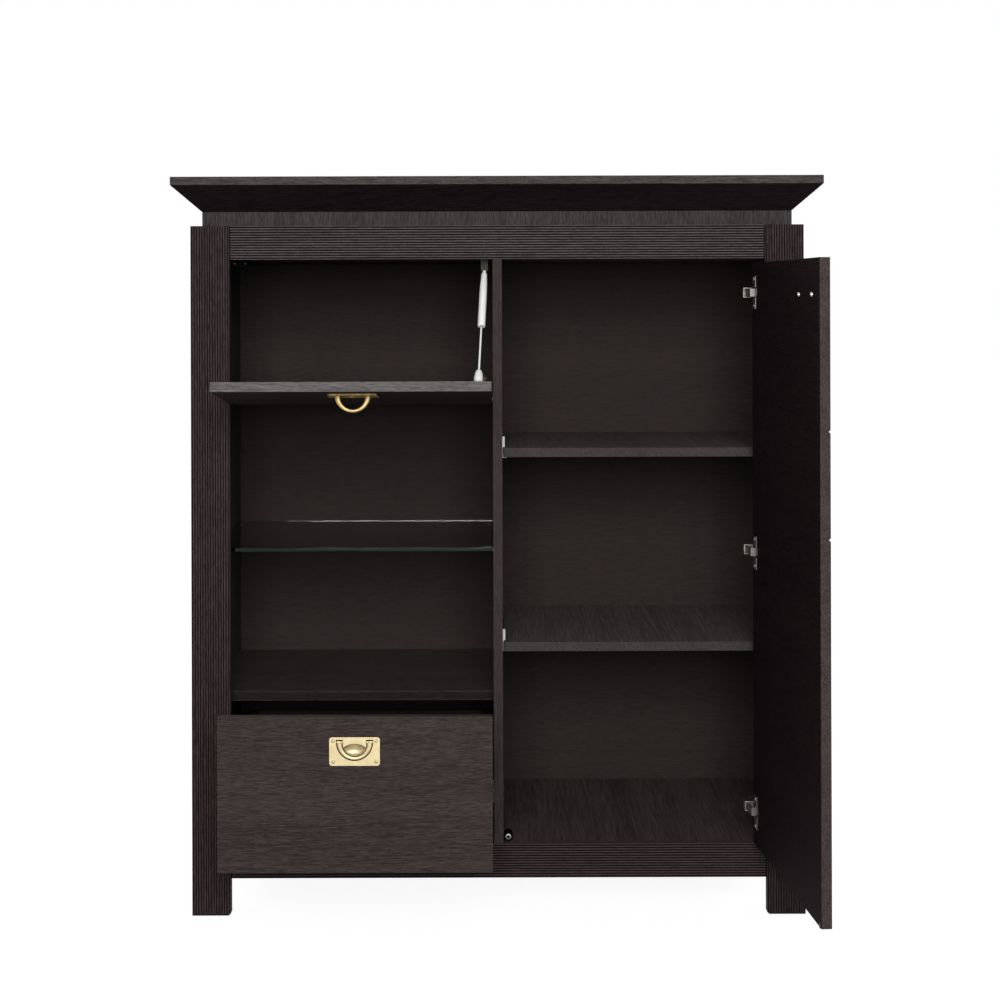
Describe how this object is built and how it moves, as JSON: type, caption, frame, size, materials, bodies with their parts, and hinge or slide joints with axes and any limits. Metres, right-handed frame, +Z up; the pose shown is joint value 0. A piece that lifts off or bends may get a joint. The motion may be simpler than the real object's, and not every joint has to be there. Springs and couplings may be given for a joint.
{
  "type": "bar cabinet with fold-out shelf",
  "caption": "Dark wood-grain bar cabinet with reeded posts, sloped crown, fold-out flap on a gas strut, drawer, glass shelf and a hinged door over open shelves.",
  "frame": {"origin": "on the floor, at the middle of the box the cabinet fills as it stands, with its door open", "axes": "+Z up, front towards -Y, the door on the +X side"},
  "size_m": [1.264, 1.0076, 1.439],
  "materials": {
    "reeded_wenge": "satin, finely reeded",
    "wenge_board": "satin wood-grain melamine",
    "wenge_inside": "satin wood-grain melamine",
    "antique_brass": "brushed, slightly worn",
    "nickel": "nickel plated",
    "white_plastic": "matt",
    "white_tube": "white enamel",
    "chromed_rod": "polished",
    "zinc": "zinc plated",
    "black_plastic": "matt",
    "clear_glass": "polished"
  },
  "bodies": {
    "carcass": {"left_side_panel": "wenge_board", "right_side_panel": "wenge_board", "left_front_post": "reeded_wenge", "right_front_post": "reeded_wenge", "top_rail": "reeded_wenge", "bottom_rail": "reeded_wenge", "carcass_top": "wenge_inside", "carcass_bottom": "wenge_inside", "centre_divider": "wenge_inside", "back_panel": "wenge_inside", "front_frieze": "wenge_board", "left_frieze": "wenge_board", "right_frieze": "wenge_board", "rear_top_board": "wenge_board", "front_crown": "wenge_board", "left_crown": "wenge_board", "right_crown": "wenge_board", "top_slab": "wenge_board", "bar_shelf": "wenge_inside", "niche_shelf": "wenge_inside", "glass_shelf": "clear_glass", "glass_shelf_pins": "nickel", "upper_shelf": "wenge_inside", "lower_shelf": "wenge_inside", "shelf_brackets": "white_plastic", "hinge_blocks": "wenge_inside", "hinge_plates": "nickel", "hinge_arms": "nickel", "runner_packer": "wenge_inside", "cabinet_runners": "zinc", "strut_ceiling_bracket": "nickel", "flap_catch": "black_plastic", "door_catch": "black_plastic", "flap_bushes": "black_plastic"},
    "door": {"door_panel": "wenge_board", "hinge_cups": "nickel", "hinge_links": "nickel", "hinge_cup_screws": "nickel", "door_pull_plate": "antique_brass", "door_pull_bolts": "nickel", "door_strike": "nickel"},
    "door_bail": {"door_bail": "antique_brass"},
    "flap": {"flap_panel": "wenge_board", "flap_pivot_pins": "nickel", "flap_pull_plate": "antique_brass", "flap_pull_screws": "antique_brass", "flap_strike": "nickel", "strut_flap_bracket": "nickel"},
    "flap_bail": {"flap_bail": "antique_brass"},
    "strut_tube": {"strut_tube": "white_tube"},
    "strut_rod": {"strut_rod": "chromed_rod"},
    "drawer": {"drawer_front": "wenge_board", "drawer_left_side": "wenge_inside", "drawer_right_side": "wenge_inside", "drawer_back": "wenge_inside", "drawer_bottom": "wenge_inside", "drawer_pull_plate": "antique_brass", "drawer_pull_screws": "antique_brass", "drawer_runners": "zinc"},
    "drawer_bail": {"drawer_bail": "antique_brass"}
  },
  "joints": [
    {"name": "door_hinge", "type": "hinge", "parent": "carcass", "child": "door", "pos_m": [0.5174, 0.00147, 0.7085], "axis": [0, 0, 1], "range_deg": [-95, 15]},
    {"name": "door_bail_swing", "type": "hinge", "parent": "door", "child": "door_bail", "pos_m": [0.55146, -0.40852, 1.224], "axis": [0.0872, -0.9962, 0], "range_deg": [0, 90]},
    {"name": "flap_hinge", "type": "hinge", "parent": "carcass", "child": "flap", "pos_m": [-0.266, 0.01277, 1.005], "axis": [1, 0, 0], "range_deg": [-82, 0]},
    {"name": "flap_bail_swing", "type": "hinge", "parent": "flap", "child": "flap_bail", "pos_m": [-0.266, -0.2074, 1.02635], "axis": [-1, 0, 0], "range_deg": [-82, 8]},
    {"name": "strut_swing", "type": "hinge", "parent": "carcass", "child": "strut_tube", "pos_m": [-0.025, 0.06377, 1.261], "axis": [0.9967, 0.0328, -0.0745], "range_deg": [0, 27.28]},
    {"name": "strut_slide", "type": "slide", "parent": "strut_tube", "child": "strut_rod", "axis": [-0.0428, -0.567, -0.8226], "range_m": [-0.09932, 0]},
    {"name": "drawer_slide", "type": "slide", "parent": "carcass", "child": "drawer", "axis": [0, -1, 0], "range_m": [-0.19, 0.12]},
    {"name": "drawer_bail_swing", "type": "hinge", "parent": "drawer", "child": "drawer_bail", "pos_m": [-0.266, -0.18673, 0.383], "axis": [-1, 0, 0], "range_deg": [0, 90]}
  ],
  "couplings": [
    {"joint": "strut_swing", "follows": "flap_hinge", "ratio": -0.33259},
    {"joint": "strut_slide", "follows": "flap_hinge", "m_per_rad": 0.069394}
  ]
}
